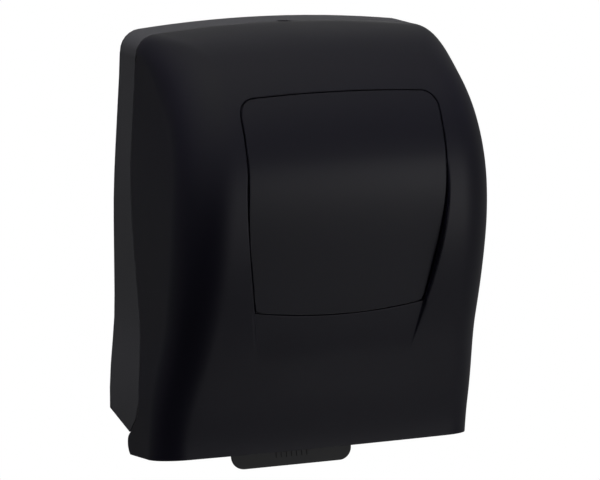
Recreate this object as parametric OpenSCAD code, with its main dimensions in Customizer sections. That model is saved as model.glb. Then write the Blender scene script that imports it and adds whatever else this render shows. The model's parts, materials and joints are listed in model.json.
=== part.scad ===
// Wall-mounted roll towel dispenser with a push tab, a feed drum and a hinged front cover.
// Heights are counted from the front edge of the cover, and depths from the wall towards the front.
// The finished model is lowered so that its origin is the middle of the wall screws, on the wall.

/* [Cover] */
// Height of the cover's top above its front lower edge
cover_h = 377; // [360:1:394]
// Greatest depth of the cover from the wall
cover_depth = 205; // [200:1:215]
// Height of the deepest line of the cover
bulge_z = 240; // [230:1:250]
// Depth of the cover's front lower edge
bottom_depth = 138; // [136:1:141]
// Height of the cover's lower edge at the front
rim_z = 5.2; // [4:0.2:6.4]
// Room beside each end of the drum for the gears and the case, which sets the width
side_room = 46; // [44:1:54]
// How much wider each side is at the foot
foot_flare = 5.5; // [4:0.1:7]
// How much narrower each side is at the top
top_taper = 8; // [6:0.5:10]
// Wall thickness of the cover and of the housing's sides
wall = 2.6; // [2.2:0.1:3]
// Rounding of the cover's edge at the foot
corner_r_low = 28; // [24:1:32]
// Rounding of the cover's edge at its deepest line
corner_r_mid = 42; // [36:1:46]
// Rounding of the outline's top corners
corner_r_top = 17; // [14:1:22]
// Bulge of the front from side to side
crown = 7; // [4:0.5:9]
// Drop of the top edge towards its ends
arch = 1.5; // [0:0.5:5]

/* [Seam and hinge] */
// Depth of the rear housing along its upper half
seam_depth = 45; // [43:1:48]
// Depth that the housing gains towards the foot
seam_gain = 38; // [36:1:40]
// Gap between the housing and the cover
seam_gap = 0.8; // [0.5:0.1:1]
// Depth of the hinge axis
hinge_f = 62; // [61:0.5:63]
// Height of the hinge axis
hinge_z = 4.5; // [3.5:0.5:5.5]
// Radius of the rounded tail of the cover round the hinge
tail_r = 10.8; // [10.2:0.1:11.2]
// Radius of the hinge pins
hinge_pin_r = 3; // [2:0.25:3.5]

/* [Panel] */
// Height of the panel's lower edge at its middle
panel_low_z = 135; // [128:1:142]
// Height of the panel's upper edge at its middle
panel_high_z = 330; // [321:1:335]
// Width of the cover beside the panel at the top
panel_margin = 56; // [54:1:62]
// Width of the cover beside the creases where they run together below
crease_margin = 81; // [76:1:86]
// Depth of the hollow that the panel lies in
recess_depth = 7; // [6:0.5:8]
// Gap round the panel
panel_gap = 0.8; // [0.5:0.1:1.2]
// Thickness of the panel's flange
flange_t = 1.8; // [1.4:0.1:2.4]
// Width of the panel's flange behind the cover
flange_lap = 5; // [3:0.5:6]

/* [Rear housing] */
// Thickness of the back plate
back_t = 3; // [2.5:0.1:4]
// Distance between the wall screws from side to side
screw_span_x = 160; // [140:2:180]
// Distance between the wall screws from top to bottom
screw_span_z = 220; // [200:2:230]
// Height of the middle of the wall screws
mount_z = 205; // [200:1:210]
// Radius of the wall screw holes
wall_hole_r = 3; // [2:0.1:3.5]

/* [Feed drum] */
// Depth of the drum's axis
drum_f = 92; // [91:0.5:93]
// Height of the drum's axis
drum_z = 64; // [63:0.5:66]
// Radius of the drum
drum_r = 36; // [34:0.5:37]
// Half length of the drum
drum_half_l = 102; // [90:1:114]
// Thickness of the rubber bands on the drum
band_t = 1.2; // [0.8:0.1:1.6]
// Radius of the drum's shaft
shaft_r = 5; // [4:0.25:6]
// Radius of the pinch roller
pinch_r = 9; // [7:0.5:10]
// Radius of the thumb wheel
thumb_r = 20; // [16:1:24]

/* [Push lever] */
// Width of the push tab
tab_w = 117; // [100:1:130]
// Reach of the tab below the lever's shaft
tab_reach = 56; // [51:1:58]
// Forward lean of the tab, in degrees
tab_lean = 9; // [7:0.5:11]
// Thickness of the tab
tab_t = 3; // [2.5:0.1:4]
// Radius of the tab's lower corners
tab_corner_r = 12; // [8:1:18]
// Radius of the lever's shaft
lever_shaft_r = 4; // [3:0.25:4.5]
// Gear module of the sector and the pinion
gear_module = 2; // [1.9:0.05:2.1]
// Width of the gears
gear_w = 7.4; // [6:0.2:8]

/* [Chassis and roll holder] */
// Gap between each end of the drum and the chassis plate beside it
chassis_gap = 6; // [5:0.5:8]
// Thickness of the chassis plates
chassis_t = 4; // [3:0.25:4.5]
// Depth of the paper roll's axis
roll_f = 97; // [92:1:100]
// Height of the paper roll's axis
roll_z = 232; // [226:1:238]
// Distance of each roll arm's inner face beyond the end of the drum
arm_gap = 11; // [8:1:13]
// Radius of the hubs that enter the roll's core
hub_r = 18.8; // [16:0.2:20]

/* [Hidden] */
$fn = 48;
half_w = drum_half_l + side_room;
panel_half_w = half_w - panel_margin;
crease_low_half_w = half_w - crease_margin;
chassis_x = drum_half_l + chassis_gap;
arm_x = drum_half_l + arm_gap;
run_gap = 0.05;
touch_gap = 0.3;
tilt = 1.5;
rim_blend_z = 60;
rim_tilt = 0.16;
step_w = 2;
foot_out = 0.1;
foot_up = 0.25;
brow_rise = 0.52;
brow_reach = 0.76;
brow_lift = 5;
recess_z = 185;
recess_half_h = 92;
panel_corner_r = 14;

// Rows up the cover's profile, closer together at the foot, and columns across each half
low_rows = 20;
high_rows = 16;
flat_columns = 5;
side_columns = 2;
arc_columns = 6;

// Points in depth and height that set the cover's profile below and above its deepest line
low_profile = [
    [bottom_depth, rim_z],
    [bottom_depth + foot_out * (cover_depth - bottom_depth), mix(rim_z, bulge_z, foot_up)],
    [cover_depth, 0.62 * bulge_z],
    [cover_depth, bulge_z]
];
high_profile = [
    [cover_depth, bulge_z],
    [cover_depth, bulge_z + brow_rise * (cover_h - bulge_z)],
    [brow_reach * cover_depth, cover_h + brow_lift],
    [seam_depth, cover_h]
];
// Cut of the lower edge, which falls towards the back, and the round tail's reach below that edge's end
rim_slope = rim_tilt + foot_out * (cover_depth - bottom_depth) / (foot_up * (bulge_z - rim_z));
tail_drop = rim_z - rim_tilt * (crown + corner_r_low) + tail_r - hinge_z;
seam_low_z = 40;
seam_high_z = 280;
wedge_low_z = hinge_z + 10;
wedge_high_z = wedge_low_z + 23;
tip_f = hinge_f - 5.2;
tip_z = hinge_z + 10.5;
back_low_z = tip_z + 9.5;

// The gears mesh on a line that runs down and back from the drum
pinion_teeth = 12;
sector_teeth = 40;
mesh_angle = 225;
pinion_r = gear_module * pinion_teeth / 2;
sector_r = gear_module * sector_teeth / 2;
addendum = 0.8 * gear_module;
dedendum = 1.2 * gear_module;
tooth_slack = 0.4;
root_lap = 0.15;
lever_f = drum_f + (pinion_r + sector_r) * cos(mesh_angle);
lever_z = drum_z + (pinion_r + sector_r) * sin(mesh_angle);
lever_room_f = lever_f - 11.4;

// The pinch roller leans on the drum from behind, and its carrier hangs from a rod above it
pinch_angle = 160;
pinch_arm = 28;
pinch_reach = drum_r + band_t + pinch_r + touch_gap;
pinch_f = drum_f + pinch_reach * cos(pinch_angle);
pinch_z = drum_z + pinch_reach * sin(pinch_angle);
pinch_rod_f = pinch_f + pinch_arm * cos(pinch_angle - 90);
pinch_rod_z = pinch_z + pinch_arm * sin(pinch_angle - 90);
pinch_rod_r = 3;
pinch_axle_r = 3;
pinch_bar_f = pinch_f + (pinch_r + 6) * cos(pinch_angle);
pinch_bar_z = pinch_z + (pinch_r + 6) * sin(pinch_angle);
pinch_half_l = drum_half_l - 7;
carrier_x = pinch_half_l + 3;
carrier_t = 6;

// The knife is hinged inside the hollow drum and swings out through a slot
slot_angle = 10;
drum_shell = 5;
drum_web = 14;
knife_u = drum_r - 16;
knife_v = -9;
knife_rest = 50;
knife_arm = 19;
knife_half_l = drum_half_l - drum_web - 0.5;
knife_pin_r = 3;

chassis_out = chassis_x + chassis_t;
bush_r = shaft_r + 3;
gear_x = chassis_out + 1.6;
tie_f = drum_f + 27;
tie_z = drum_z + 42;
tie_r = 4;
boss_f = back_t + 7;
boss_r = 5;
screw_r = 1.8;
chassis_foot_t = 3;
chassis_screw_x = chassis_out + 7;
chassis_screw_z = [drum_z - 16, drum_z + 40];
chute_r = drum_r + 5.5;
chute_t = 2;
slot_back_f = drum_f - drum_r / 6;
slot_front_f = drum_f + drum_r / 2;
slot_low_z = 2;

arm_t = 4;
arm_pivot_x = arm_x + 5;
arm_pivot_f = back_t + 13;
arm_hub_r = 6;
arm_half_h = 15.5;
arm_pin_r = 2.5;
ear_t = 3.7;
bracket_half_h = 32;
bracket_t = 3;
stub_r = 4;

lock_z = cover_h - 19;
bolt_w = 8.4;
bolt_f = seam_depth - 8.5;
lock_case_x = [-20, 15];
lock_case_h = 22;
catch_x = lock_case_x[1] + 1;
catch_t = 3.5;
key_hole_r = 7;
knuckle_x = half_w - 22;
knuckle_w = 8;
knuckle_r = 6.5;

body_black = "#1c1d1f";
panel_black = "#202124";
housing_grey = "#37383c";
inner_grey = "#4a4c50";
pale_grey = "#8f9297";
steel = "#b8bbc0";
rubber = "#2a2a2a";
touch_green = "#4f7d63";

// Curves and surfaces of the cover

function clamp01(t) = min(1, max(0, t));
function ease(a, b, t) = let (s = clamp01((t - a) / (b - a))) s * s * (3 - 2 * s);
function mix(a, b, t) = a + (b - a) * t;
function unit(v) = v / max(norm(v), 1e-6);
function bezier(p, t) =
    p[0] * pow(1 - t, 3) + 3 * p[1] * t * pow(1 - t, 2) + 3 * p[2] * t * t * (1 - t) + p[3] * pow(t, 3);
function bezier_way(p, t) =
    (p[1] - p[0]) * pow(1 - t, 2) + 2 * (p[2] - p[1]) * t * (1 - t) + (p[3] - p[2]) * t * t;

// Profile place and inward direction at s, from 0 at the foot through 1 at the deepest line to 2 at the seam
function profile(s) = s <= 1 ? bezier(low_profile, s) : bezier(high_profile, s - 1);
function inward(s) =
    let (w = unit(s <= 1 ? bezier_way(low_profile, s) : bezier_way(high_profile, s - 1))) [-w[1], w[0]];
function half_width(z) = half_w + foot_flare * (1 - ease(40, 125, z)) - top_taper * ease(200, cover_h, z);
function crease(z) = mix(crease_low_half_w, panel_half_w, ease(40, 250, z));
function recess(z) = let (t = clamp01(abs(z - recess_z) / recess_half_h)) recess_depth * pow(1 - t * t, 2);
function edge_radius(p) =
    let (r = mix(corner_r_low, corner_r_mid, ease(0, bulge_z, p[1])))
    p[1] > bulge_z ? mix(r, corner_r_top, ease(150, seam_depth, p[0])) : r;

// Depth of the seam at a height: level above, growing towards the foot, then a wedge and the round tail
wedge_low_f = hinge_f - 4;
function wedge_share(z) = (z - wedge_low_z) / (wedge_high_z - wedge_low_z);
function seam_f(z) =
    z > wedge_high_z ? seam_depth + seam_gain * (1 - ease(seam_low_z, seam_high_z, z))
    : z > wedge_low_z ? mix(wedge_low_f, seam_depth + seam_gain, wedge_share(z))
    : hinge_f - sqrt(max(0, tail_r * tail_r - pow(z - hinge_z, 2)));

// Places across one half of a row, from the middle out to the end of the rounded edge
function row_places(w, r, c) = concat(
    [for (k = [0 : flat_columns]) c * k / flat_columns],
    [for (k = [0 : side_columns]) mix(c + step_w, w - r, k / side_columns)],
    [for (k = [1 : arc_columns]) w - r + r * sin(90 * k / arc_columns)]
);
function edge_drop(x, w, r) =
    crown * pow(x / w, 2) + (x > w - r ? r - sqrt(max(0, r * r - pow(x - w + r, 2))) : 0);
function sunk(x, z) = abs(x) < crease(z) + step_w / 2 ? recess(z) : 0;

// One point of the cover's outside, as width, depth and height
arch_x = half_w - 28;
function arch_drop(x, z) = arch * pow(x / arch_x, 2) * pow(max(0, z) / cover_h, 2);
function cover_point(s, x, w, r) =
    let (
        p = profile(s),
        q = p + inward(s) * edge_drop(abs(x), w, r),
        f = q[0] - sunk(x, p[1]),
        z = q[1] - arch_drop(x, q[1]),
        behind = max(0, bottom_depth - f)
    )
    [x, -f, z - rim_slope * behind * (1 - ease(0, rim_blend_z, z))];
function cover_row(s) =
    let (
        p = profile(s),
        r = edge_radius(p),
        w = half_width(p[1] + r * inward(s)[1]) - tilt * (1 - ease(1.5, 2, s)),
        half = row_places(w, r, crease(p[1])),
        last = len(half) - 1,
        xs = concat([for (k = [last : -1 : 1]) -half[k]], half),
        row = [for (x = xs) cover_point(s, x, w, r)],
        z = row[0][2] - tail_drop * (1 - ease(0, rim_blend_z, row[0][2])) - tilt * s / 2
    )
    concat([[-half_width(z), -seam_f(z), z]], row, [[half_width(z), -seam_f(z), z]]);
row_steps = concat(
    [for (k = [0 : low_rows]) pow(k / low_rows, 1.7)],
    [for (k = [1 : high_rows]) 1 + k / high_rows]
);
cover_outside = [for (s = row_steps) cover_row(s)];
top_row = len(row_steps) - 1;
last_column = len(cover_outside[0]) - 1;

// The inside lies one wall further in, level with the outside along the seam and the foot
function grid_inward(g, i, j) =
    let (
        up = g[min(i + 1, len(g) - 1)][j] - g[max(i - 1, 0)][j],
        across = g[i][min(j + 1, len(g[0]) - 1)] - g[i][max(j - 1, 0)]
    )
    i == len(g) - 1 ? unit([across[2], 0, -across[0]])
    : j == 0 ? [1, 0, 0]
    : j == len(g[0]) - 1 ? [-1, 0, 0]
    : i == 0 ? unit([cross(up, across)[0], cross(up, across)[1], 0])
    : unit(cross(up, across));
cover_inside = [
    for (i = [0 : top_row])
    [for (j = [0 : last_column]) cover_outside[i][j] + wall * grid_inward(cover_outside, i, j)]
];

// Closed solid between two like grids of points
module between(front, rear) {
    m = len(front);
    n = len(front[0]);
    points = concat([for (row = front) each row], [for (row = rear) each row]);
    function a(i, j) = i * n + j;
    function b(i, j) = m * n + i * n + j;
    faces = concat(
        [for (i = [0 : m - 2]) for (j = [0 : n - 2]) each [
            [a(i, j), a(i + 1, j), a(i + 1, j + 1)],
            [a(i, j), a(i + 1, j + 1), a(i, j + 1)],
            [b(i, j), b(i + 1, j + 1), b(i + 1, j)],
            [b(i, j), b(i, j + 1), b(i + 1, j + 1)]
        ]],
        [for (j = [0 : n - 2]) each [
            [a(0, j), a(0, j + 1), b(0, j + 1)],
            [a(0, j), b(0, j + 1), b(0, j)],
            [a(m - 1, j + 1), a(m - 1, j), b(m - 1, j)],
            [a(m - 1, j + 1), b(m - 1, j), b(m - 1, j + 1)]
        ]],
        [for (i = [0 : m - 2]) each [
            [a(i + 1, 0), a(i, 0), b(i, 0)],
            [a(i + 1, 0), b(i, 0), b(i + 1, 0)],
            [a(i, n - 1), a(i + 1, n - 1), b(i + 1, n - 1)],
            [a(i, n - 1), b(i + 1, n - 1), b(i, n - 1)]
        ]]
    );
    polyhedron(points, faces, convexity = 6);
}

// The panel's grid shares the cover's rows and lies a stated depth below the front
panel_columns = 14;
panel_steps = [
    for (s = row_steps) if (profile(s)[1] > panel_low_z - 30 && profile(s)[1] < panel_high_z + 26) s
];
function panel_ledge(z) = recess(z) + wall + touch_gap;
function panel_rear(z) = panel_ledge(z) + flange_t;
function panel_point(s, x, d) =
    let (p = profile(s), q = p + inward(s) * (crown * pow(x / half_w, 2) + d))
    [x, -q[0], q[1] - arch_drop(x, q[1])];
panel_side = panel_half_w + flange_lap + 6;
panel_places = [for (k = [-panel_columns / 2 : panel_columns / 2]) 2 * panel_side * k / panel_columns];
front_grid = [for (s = panel_steps) [for (x = panel_places) panel_point(s, x, recess(profile(s)[1]))]];
ledge_grid = [for (s = panel_steps) [for (x = panel_places) panel_point(s, x, panel_ledge(profile(s)[1]))]];
rear_grid = [for (s = panel_steps) [for (x = panel_places) panel_point(s, x, panel_rear(profile(s)[1]))]];

// Outline of the panel seen from the front, grown by a margin
side_points = 9;
corner_points = 4;
function panel_low(x) = panel_low_z + 6.5 * pow(x / 80, 2);
function panel_high(x) = panel_high_z - 3 * pow(x / 84, 2);
function panel_half(grow) =
    let (
        r = panel_corner_r,
        w = panel_half_w + grow,
        top = panel_high(w - r) + grow,
        z0 = panel_low(crease(panel_low_z)) - grow
    )
    concat(
        [for (k = [1 : 3]) let (x = (crease(z0) + grow) * k / 4) [x, panel_low(x) - grow]],
        [for (k = [0 : side_points])
            let (z = mix(z0, top - r, k / side_points)) [min(crease(z) + grow, w), z]],
        [for (k = [1 : corner_points])
            let (t = 90 * k / corner_points) [w - r + r * cos(t), top - r + r * sin(t)]],
        [for (k = [3 : -1 : 1]) let (x = (w - r) * k / 4) [x, panel_high(x) + grow]]
    );
module panel_outline(grow) {
    half = panel_half(grow);
    n = len(half);
    polygon(concat(
        [[0, panel_low(0) - grow]], half,
        [[0, panel_high(0) + grow]], [for (k = [n - 1 : -1 : 0]) [-half[k][0], half[k][1]]]
    ));
}

// Placing helpers: a place in depth and height, a turn that lifts the front, and solids along an axis

module framed() translate([0, 0, -mount_z]) children();
module at(f, z) translate([0, -f, z]) children();
module turned(angle) rotate([-angle, 0, 0]) children();
module rod(r, x0, x1) translate([x0, 0, 0]) rotate([0, 90, 0]) cylinder(r = r, h = x1 - x0);
module post(r, z0, z1) translate([0, 0, z0]) cylinder(r = r, h = z1 - z0);
module peg(r, f0, f1) translate([0, -f0, 0]) rotate([90, 0, 0]) cylinder(r = r, h = f1 - f0);
module block(x, f, z) translate([x[0], -f[1], z[0]]) cube([x[1] - x[0], f[1] - f[0], z[1] - z[0]]);
module side_plate(x0, x1) translate([x0, 0, 0]) rotate([90, 0, 90]) linear_extrude(x1 - x0) children();
module front_plate(f0, f1) translate([0, -f0, 0]) rotate([90, 0, 0]) linear_extrude(f1 - f0) children();
module both_sides() {
    children();
    mirror([1, 0, 0]) children();
}
// Flat outlines for side_plate, drawn in depth and height
module outline(points) polygon([for (p = points) [-p[0], p[1]]]);
module disc(p, r) translate([-p[0], p[1]]) circle(r);
module link(p, q, r) {
    w = unit(q - p);
    n = [-w[1], w[0]] * r;
    disc(p, r);
    disc(q, r);
    outline([p + n, q + n, q - n, p - n]);
}
module sector_outline(p, r, a0, a1) {
    outline(concat([p], [for (k = [0 : 6]) p + r * [cos(mix(a0, a1, k / 6)), sin(mix(a0, a1, k / 6))]]));
}

// Round wire swept along points, with six sides
wire_sides = 6;
function wire_ring(path, k, r) =
    let (
        way = unit(path[min(k + 1, len(path) - 1)] - path[max(k - 1, 0)]),
        side = unit(cross(way, abs(way[0]) < 0.8 ? [1, 0, 0] : [0, 1, 0])),
        up = cross(side, way)
    )
    [for (t = [0 : wire_sides - 1])
        path[k] + r * (cos(360 * t / wire_sides) * side + sin(360 * t / wire_sides) * up)];
module wire(path, r) {
    m = len(path);
    n = wire_sides;
    points = [for (k = [0 : m - 1]) each wire_ring(path, k, r)];
    faces = concat(
        [for (i = [0 : m - 2]) for (j = [0 : n - 1]) each [
            [i * n + j, (i + 1) * n + j, (i + 1) * n + (j + 1) % n],
            [i * n + j, (i + 1) * n + (j + 1) % n, i * n + (j + 1) % n]
        ]],
        [for (j = [1 : n - 2]) each [[0, j, j + 1], [(m - 1) * n, (m - 1) * n + j + 1, (m - 1) * n + j]]]
    );
    polyhedron(points, faces);
}
// A coil along X round the origin, with a straight leg at its far end that points at leg_angle
coil_rings = 8;
function coil_path(r, pitch, turns, leg, leg_angle) =
    let (
        n = turns * coil_rings,
        start = leg_angle - 90 - 360 * turns,
        ring = [for (k = [0 : n]) let (t = start + 360 * k / coil_rings)
            [pitch * k / coil_rings, -r * cos(t), r * sin(t)]],
        way = [0, -cos(leg_angle), sin(leg_angle)]
    )
    concat(ring, [for (k = [1 : 2]) ring[n] + [pitch / coil_rings, 0, 0] + way * leg * k / 2]);
// Least free gap between places of a wire that are half a turn or more apart along it
function least_gap(path, r) =
    let (last = len(path) - 1)
    min([for (i = [0 : last]) for (j = [i + coil_rings / 2 : 1 : last]) norm(path[i] - path[j])]) - 2 * r;

// Gear tooth with involute flanks, drawn along the depth axis
pressure_angle = 20;
function involute(a) = tan(a) * 180 / PI - a;
function tooth_half(teeth, r, radius) =
    let (base = r * cos(pressure_angle), a = radius > base ? acos(base / radius) : 0)
    90 / teeth - tooth_slack / 2 / r * 180 / PI + involute(pressure_angle) - involute(a);
tooth_points = 5;
function tooth_flank(teeth, r) =
    [for (k = [0 : tooth_points])
        let (q = mix(r - dedendum, r + addendum, k / tooth_points)) [q, tooth_half(teeth, r, q)]];
module tooth(teeth, r, angle) {
    flank = tooth_flank(teeth, r);
    root = r - dedendum - 0.6;
    foot = flank[0][1];
    sides = concat([[root, foot]], flank);
    n = len(sides) - 1;
    outline(concat(
        [for (s = sides) s[0] * [cos(angle + s[1]), sin(angle + s[1])]],
        [for (k = [n : -1 : 0]) sides[k][0] * [cos(angle - sides[k][1]), sin(angle - sides[k][1])]]
    ));
}

// Housing and chassis

housing_steps = 16;
module housing_outline(inset) {
    row = inset ? cover_inside[top_row] : cover_outside[top_row];
    inner = inset ? wall : 0;
    top_z = row[0][2];
    sides = [
        for (k = [1 : housing_steps]) let (z = mix(top_z, 0, k / housing_steps)) [half_width(z) - inner, z]
    ];
    foot = [[half_width(0) - inner, -40], [-half_width(0) + inner, -40]];
    polygon(concat(
        [for (p = row) [p[0], p[2]]], sides, foot,
        [for (k = [housing_steps - 1 : -1 : 0]) [-sides[k][0], sides[k][1]]]
    ));
}
module housing_side() {
    outline(concat(
        [[0, back_low_z], [tip_f, tip_z]],
        [for (k = [0 : 24])
            let (z = mix(wedge_low_z + 2 * seam_gap, cover_h, k / 24)) [seam_f(z) - seam_gap, z]],
        [[seam_depth - seam_gap, cover_h + 10], [0, cover_h + 10]]
    ));
}
module housing_hollow() {
    slope = (tip_z - back_low_z) / tip_f;
    lift = wall * sqrt(1 + slope * slope);
    outline([
        [back_t, back_low_z + lift + slope * back_t],
        [cover_depth, back_low_z + lift + slope * cover_depth],
        [cover_depth, cover_h + 10], [back_t, cover_h + 10]
    ]);
}
module wall_screw_places() {
    for (sx = [-1, 1], sz = [-1, 1])
        translate([sx * screw_span_x / 2, 0, mount_z + sz * screw_span_z / 2]) children();
}
module chassis_screw_places() {
    for (sx = [-1, 1], z = chassis_screw_z) translate([sx * chassis_screw_x, 0, z]) children();
}
module bracket_screw_places() {
    for (sx = [-1, 1], sz = [-1, 1])
        translate([sx * arm_pivot_x, 0, roll_z + sz * (bracket_half_h - 5)]) children();
}
module housing_knuckle() {
    side_plate(knuckle_x, knuckle_x + knuckle_w) {
        disc([hinge_f, hinge_z], knuckle_r);
        outline([
            [hinge_f - knuckle_r, hinge_z], [hinge_f - knuckle_r - 4, tip_z + 4], [tip_f, tip_z + 3],
            [hinge_f + knuckle_r, hinge_z]
        ]);
    }
}
module rear_housing() {
    color(housing_grey) difference() {
        union() {
            intersection() {
                difference() {
                    front_plate(0, cover_depth) housing_outline(false);
                    intersection() {
                        front_plate(back_t, cover_depth + 1) housing_outline(true);
                        side_plate(-half_w * 2, half_w * 2) housing_hollow();
                    }
                }
                side_plate(-half_w * 2, half_w * 2) housing_side();
            }
            both_sides() housing_knuckle();
            wall_screw_places() peg(wall_hole_r + 5, back_t - 1, back_t + 1.5);
            chassis_screw_places() peg(boss_r, back_t - 1, boss_f);
        }
        wall_screw_places() peg(wall_hole_r, -1, back_t + 2);
        chassis_screw_places() peg(screw_r, back_t, boss_f + 1);
        bracket_screw_places() peg(screw_r, 0.8, back_t + 1);
        at(hinge_f, hinge_z) both_sides() rod(hinge_pin_r, knuckle_x - 1, knuckle_x + knuckle_w + 1);
        at(seam_depth, 0) post(key_hole_r, cover_h - 8, cover_h + 8);
        lever_room();
    }
}
// The lever and its gear swing past the front edge of the housing's floor
module lever_room() {
    end = knuckle_x - 2;
    block([-end, end], [lever_room_f, cover_depth], [hinge_z, wedge_high_z]);
}
module chassis_plate() {
    low = slot_low_z + 2;
    difference() {
        union() {
            side_plate(chassis_x, chassis_out) outline([
                [boss_f, drum_z - 28], [boss_f, tie_z + 12], [tie_f + 8, tie_z + 12], [tie_f + 15, tie_z - 6],
                [tie_f + 15, drum_z - 12], [slot_front_f + 7, 20], [slot_front_f + 7, low],
                [slot_back_f - 6, low], [lever_f + 11, lever_z - 12], [lever_f - 8, lever_z - 12],
                [lever_f - 25, lever_z + 2]
            ]);
            block([chassis_x, chassis_screw_x + 7], [boss_f, boss_f + chassis_foot_t],
                [chassis_screw_z[0] - 10, chassis_screw_z[1] + 10]);
        }
        at(drum_f, drum_z) rod(bush_r, chassis_x - 1, chassis_out + 1);
        at(lever_f, lever_z) rod(lever_shaft_r + run_gap, chassis_x - 1, chassis_out + 1);
        at(pinch_rod_f, pinch_rod_z) rod(pinch_rod_r, chassis_x - 1, chassis_out + 1);
        at(tie_f, tie_z) rod(tie_r, chassis_x - 1, chassis_out + 1);
        chassis_screw_places() peg(screw_r + 0.3, boss_f - 1, boss_f + chassis_foot_t + 1);
    }
}
module chassis_right() color(inner_grey) chassis_plate();
module chassis_left() color(inner_grey) mirror([1, 0, 0]) chassis_plate();
module paper_chute() {
    arc = [215, 262];
    drum = [drum_f, drum_z];
    end_f = drum_f + (chute_r + chute_t) * cos(arc[1]);
    end_z = drum_z + chute_r * sin(arc[1]);
    color(inner_grey) side_plate(-chassis_x, chassis_x) {
        intersection() {
            difference() {
                disc(drum, chute_r + chute_t);
                disc(drum, chute_r);
            }
            sector_outline(drum, chute_r * 1.6, arc[0], arc[1]);
        }
        outline([
            [end_f - 0.4, end_z], [end_f + 1.8, end_z],
            [slot_back_f, slot_low_z], [slot_back_f - chute_t, slot_low_z]
        ]);
    }
}
module slot_front_lip() {
    top = drum_z - drum_r - 3;
    low = slot_low_z + 2;
    color(inner_grey) side_plate(-chassis_x, chassis_x) outline([
        [slot_front_f, low], [slot_front_f + chute_t, low],
        [slot_front_f + chute_t + 3, top], [slot_front_f + 3, top]
    ]);
}
module tie_bar() color(steel) at(tie_f, tie_z) rod(tie_r, -chassis_out, chassis_out);
module drum_bush() {
    at(drum_f, drum_z) difference() {
        union() {
            rod(bush_r, chassis_x, chassis_out + 1);
            rod(bush_r + 2.5, chassis_x - 1.6, chassis_x);
        }
        rod(shaft_r + run_gap, chassis_x - 3, chassis_out + 2);
    }
}
module drum_bush_right() color(pale_grey) drum_bush();
module drum_bush_left() color(pale_grey) mirror([1, 0, 0]) drum_bush();
module pinch_rod() color(steel) at(pinch_rod_f, pinch_rod_z) rod(pinch_rod_r, -chassis_out, chassis_out);
module cover_hinge_pins() {
    end = half_width(0) - tilt - wall - 1.5;
    color(steel) at(hinge_f, hinge_z) both_sides() rod(hinge_pin_r, knuckle_x - 1.5, end);
}

// A screw with its head towards the front and a cross recess
module screw(head_f, tip) {
    difference() {
        union() {
            peg(screw_r, tip, head_f);
            peg(screw_r * 2, head_f, head_f + 2.2);
        }
        block([-2.2, 2.2], [head_f + 1, head_f + 3], [-0.4, 0.4]);
        block([-0.4, 0.4], [head_f + 1, head_f + 3], [-2.2, 2.2]);
    }
}
module chassis_screws() color(steel) chassis_screw_places() screw(boss_f + chassis_foot_t, back_t + 0.5);
module bracket_screws() color(steel) bracket_screw_places() screw(back_t + bracket_t, 1);

// Lock: a bolt in a case on the housing is thrown sideways through a catch that hangs from the cover

bolt_half = bolt_w / 2;
module lock_case() {
    z = lock_z;
    room = bolt_half + touch_gap;
    color(inner_grey) difference() {
        block(lock_case_x, [back_t, bolt_f + room + wall], [z - lock_case_h / 2, z + lock_case_h / 2]);
        block(lock_case_x + [-1, 1], [bolt_f - room, bolt_f + room], [z - room, z + room]);
        block([-key_hole_r, key_hole_r], [bolt_f - 3, seam_depth], [z, z + lock_case_h]);
    }
}
module lock_bolt() {
    color(steel) difference() {
        block([lock_case_x[0] + 2, lock_case_x[1] - 0.5], [bolt_f - bolt_half, bolt_f + bolt_half],
            [lock_z - bolt_half, lock_z + bolt_half]);
        block([-4, 4], [bolt_f - bolt_half - 1, bolt_f + bolt_half + 1], [lock_z, lock_z + bolt_w]);
    }
}
module cover_catch() {
    z = lock_z;
    room = bolt_half + 2 * touch_gap;
    across = [catch_x, catch_x + catch_t];
    under = cover_h - wall;
    color(inner_grey) difference() {
        union() {
            block(across, [bolt_f - room - 5, seam_depth + 24], [z - 11, z + 9]);
            block(across, [seam_depth + 7, seam_depth + 24], [z - 11, under + 0.4]);
            block([catch_x, catch_x + 16], [seam_depth + 9, seam_depth + 22], [under - 3.4, under - 0.4]);
        }
        block(across + [-1, 1], [bolt_f - room, bolt_f + room], [z - room, z + room]);
    }
}

// Cover, panel and their fittings

module front_cover() {
    color(body_black) difference() {
        between(cover_outside, cover_inside);
        front_plate(bottom_depth, cover_depth * 1.2) panel_outline(0);
        at(seam_depth, 0) post(key_hole_r, cover_h - 12, cover_h + 12);
    }
}
module front_panel() {
    color(panel_black) {
        intersection() {
            between(front_grid, rear_grid);
            front_plate(bottom_depth, cover_depth * 1.2) panel_outline(-panel_gap);
        }
        intersection() {
            between(ledge_grid, rear_grid);
            front_plate(bottom_depth, cover_depth * 1.2) panel_outline(flange_lap);
        }
    }
}
// Hooks on the cover's inside that reach behind the panel's flange, above and below
clip_w = 10;
clip_t = 2;
clip_step = (panel_half_w - 32) / 3;
function step_at(z, low = 0, high = 2, n = 20) =
    let (s = (low + high) / 2)
    n == 0 ? s : profile(s)[1] > z ? step_at(z, low, s, n - 1) : step_at(z, s, high, n - 1);
module panel_clip(x, edge_z, out) {
    s = step_at(edge_z + arch_drop(x, edge_z));
    p = panel_point(s, x, recess(edge_z));
    translate(p) turned(atan2(-inward(s)[1], -inward(s)[0])) {
        rear = wall + touch_gap + flange_t;
        low = min(0.6 * out, 4 * out);
        hook = min(-3 * out, 4 * out);
        translate([-clip_w / 2, wall - 0.4, low]) cube([clip_w, rear + clip_t - wall + 0.6, 3.4]);
        translate([-clip_w / 2, rear + 0.2, hook]) cube([clip_w, clip_t, 7]);
    }
}
module panel_clips() {
    color(inner_grey) for (x = [-3 * clip_step : 2 * clip_step : 3 * clip_step]) {
        panel_clip(x, panel_high(x) + flange_lap, 1);
        panel_clip(x, panel_low(x) - flange_lap, -1);
    }
}
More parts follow.
